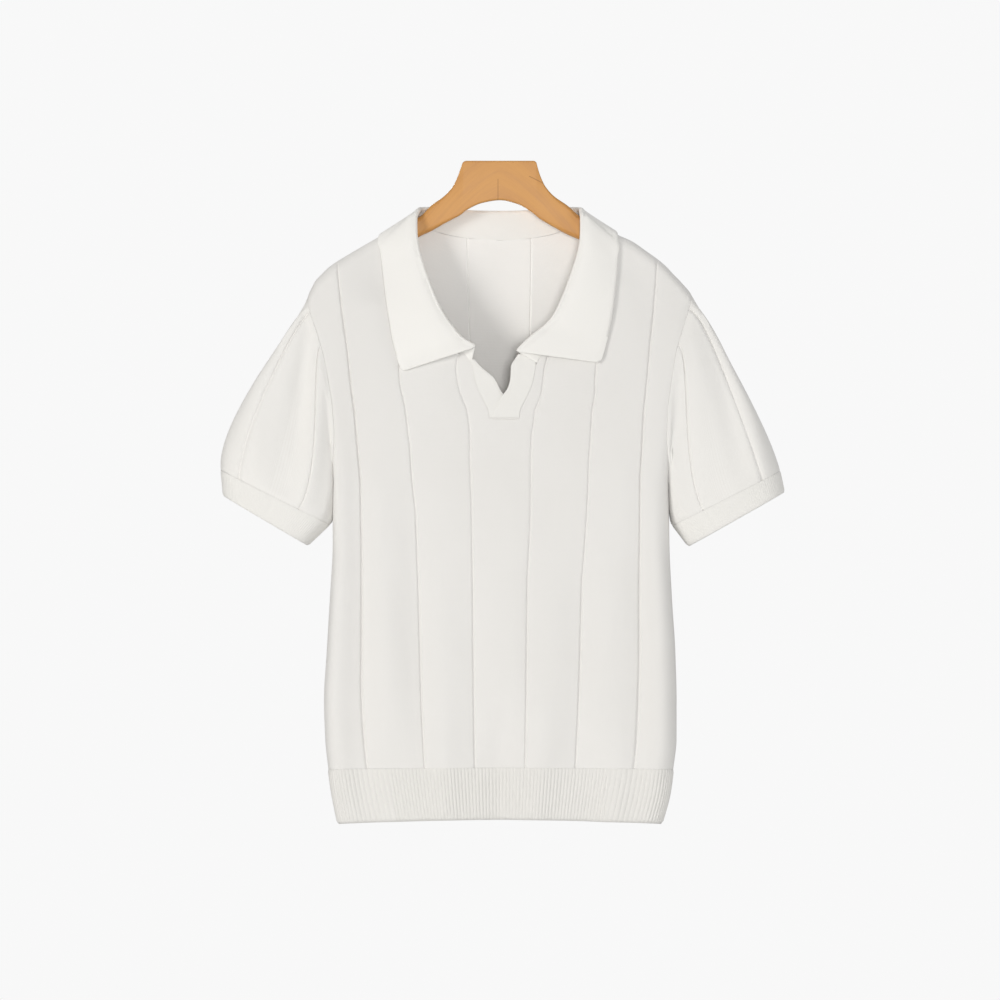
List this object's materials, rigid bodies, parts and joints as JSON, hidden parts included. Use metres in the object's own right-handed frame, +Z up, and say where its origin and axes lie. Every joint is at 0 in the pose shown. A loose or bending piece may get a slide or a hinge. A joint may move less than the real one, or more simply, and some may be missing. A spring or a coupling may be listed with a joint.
{
  "type": "knit polo shirt on a wooden hanger",
  "caption": "Short-sleeved fine-knit polo shirt with an open collar, V placket, ribbed hem and cuffs, hung on a plain wooden hanger.",
  "frame": {"origin": "the middle of the hanger's flat top, where the hanger is held", "axes": "+Z up, +X to the right as seen from the front, +Y towards the back of the shirt, whose front faces -Y"},
  "size_m": [0.62, 0.0957, 0.7291],
  "materials": {
    "knit": "soft matt off-white fine jersey knit",
    "rib_knit": "soft matt off-white rib and tight collar knit",
    "wood": "honey-brown wood under a thin satin varnish"
  },
  "bodies": {
    "root": {"front": "knit", "back": "knit", "sleeve_left": "knit", "sleeve_right": "knit", "cuff_left": "rib_knit", "cuff_right": "rib_knit", "hem_rib_front": "rib_knit", "hem_rib_back": "rib_knit", "collar": "rib_knit", "placket_left": "rib_knit", "placket_right": "rib_knit", "hanger": "wood"}
  },
  "joints": []
}
